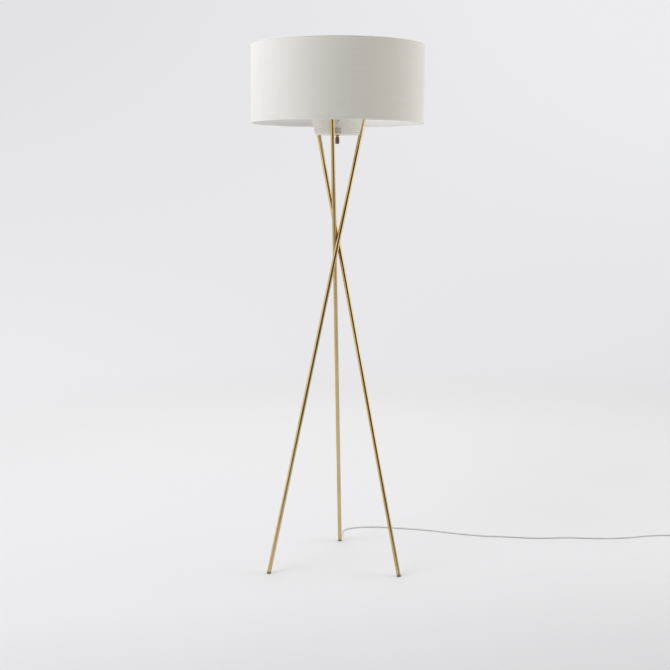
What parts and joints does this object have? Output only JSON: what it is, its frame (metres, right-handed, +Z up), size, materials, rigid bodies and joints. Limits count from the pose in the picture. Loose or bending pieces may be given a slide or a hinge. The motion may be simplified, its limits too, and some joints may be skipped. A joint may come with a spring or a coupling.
{
  "type": "tripod floor lamp",
  "caption": "Floor lamp on a crossed brass tripod, with a white drum shade on a harp, a perforated cup under the bulb, a rotary switch and a mains lead.",
  "frame": {"origin": "on the floor, on the lamp's upright axis, under the centre of the shade", "axes": "+Z up along the lamp's axis, +Y towards the back leg's foot, +X to the side that the lead leaves by"},
  "size_m": [1.4618, 0.6215, 1.5438],
  "materials": {
    "satin_brass": "satin, lacquered",
    "dark_brass": "aged, knurled",
    "white_metal": "matt white powder coat",
    "steel": "zinc plated",
    "braze": "fused, satin",
    "copper_wire": "bare",
    "phenolic": "moulded",
    "card": "fibre",
    "foot_plastic": "soft, dark brown",
    "clear_pvc": "translucent silver grey",
    "lead_pvc": "smooth",
    "cloth": "plain weave, off-white",
    "styrene": "sheet",
    "frosted_glass": "frosted",
    "bulb_alloy": "rolled"
  },
  "bodies": {
    "stand": {"back_leg": "satin_brass", "left_leg": "satin_brass", "right_leg": "satin_brass", "waist_pins": "steel", "waist_brazing": "braze", "back_foot": "foot_plastic", "left_foot": "foot_plastic", "right_foot": "foot_plastic", "leg_top_plugs": "foot_plastic", "back_leg_bushing": "foot_plastic", "leg_inserts": "steel", "cup_screws": "steel", "perforated_cup": "white_metal", "bridge": "steel", "nipple": "steel", "nipple_washer": "steel", "nipple_nut": "steel", "harp_saddle": "steel", "harp_bow": "steel", "harp_ferrules": "steel", "harp_stud": "steel", "lampholder_cap": "satin_brass", "lampholder_shell": "satin_brass", "lampholder_liner": "card", "lampholder_core": "phenolic", "screw_shell": "bulb_alloy", "centre_contact": "copper_wire", "terminal_screws": "copper_wire", "switch_bushing": "satin_brass", "switch_washer": "steel", "switch_nut": "satin_brass", "switch_body": "phenolic", "switch_contacts": "copper_wire", "leg_cord": "clear_pvc", "neutral_lead": "lead_pvc", "live_lead": "lead_pvc", "switched_lead": "lead_pvc", "crimp_sleeves": "phenolic", "cord_relief": "clear_pvc", "floor_cord": "clear_pvc", "cord_coil": "clear_pvc", "plug_relief": "clear_pvc", "plug_body": "clear_pvc", "plug_blades": "bulb_alloy"},
    "shade": {"shade_top_ring": "steel", "shade_bottom_ring": "steel", "shade_washer": "steel", "shade_spokes": "steel", "shade_liner": "styrene", "shade_cloth": "cloth"},
    "finial": {"finial": "satin_brass"},
    "bulb": {"bulb_contact": "bulb_alloy", "bulb_insulator": "phenolic", "bulb_screw_cap": "bulb_alloy", "bulb_globe": "frosted_glass", "bulb_filament_post": "styrene", "bulb_filaments": "styrene"},
    "switch": {"switch_knob": "dark_brass", "switch_shaft": "dark_brass", "switch_rotor": "phenolic"}
  },
  "joints": [
    {"name": "shade_turn", "type": "hinge", "parent": "stand", "child": "shade", "pos_m": [0, 0, 1.5211], "axis": [0, 0, 1], "continuous": true},
    {"name": "finial_lift", "type": "slide", "parent": "stand", "child": "finial", "axis": [0, 0, 1], "range_m": [0, 0.016]},
    {"name": "bulb_lift", "type": "slide", "parent": "stand", "child": "bulb", "axis": [0, 0, 1], "range_m": [0, 0.029]},
    {"name": "switch_turn", "type": "hinge", "parent": "stand", "child": "switch", "pos_m": [0, 0, 1.277], "axis": [0, 0, -1], "continuous": true}
  ]
}
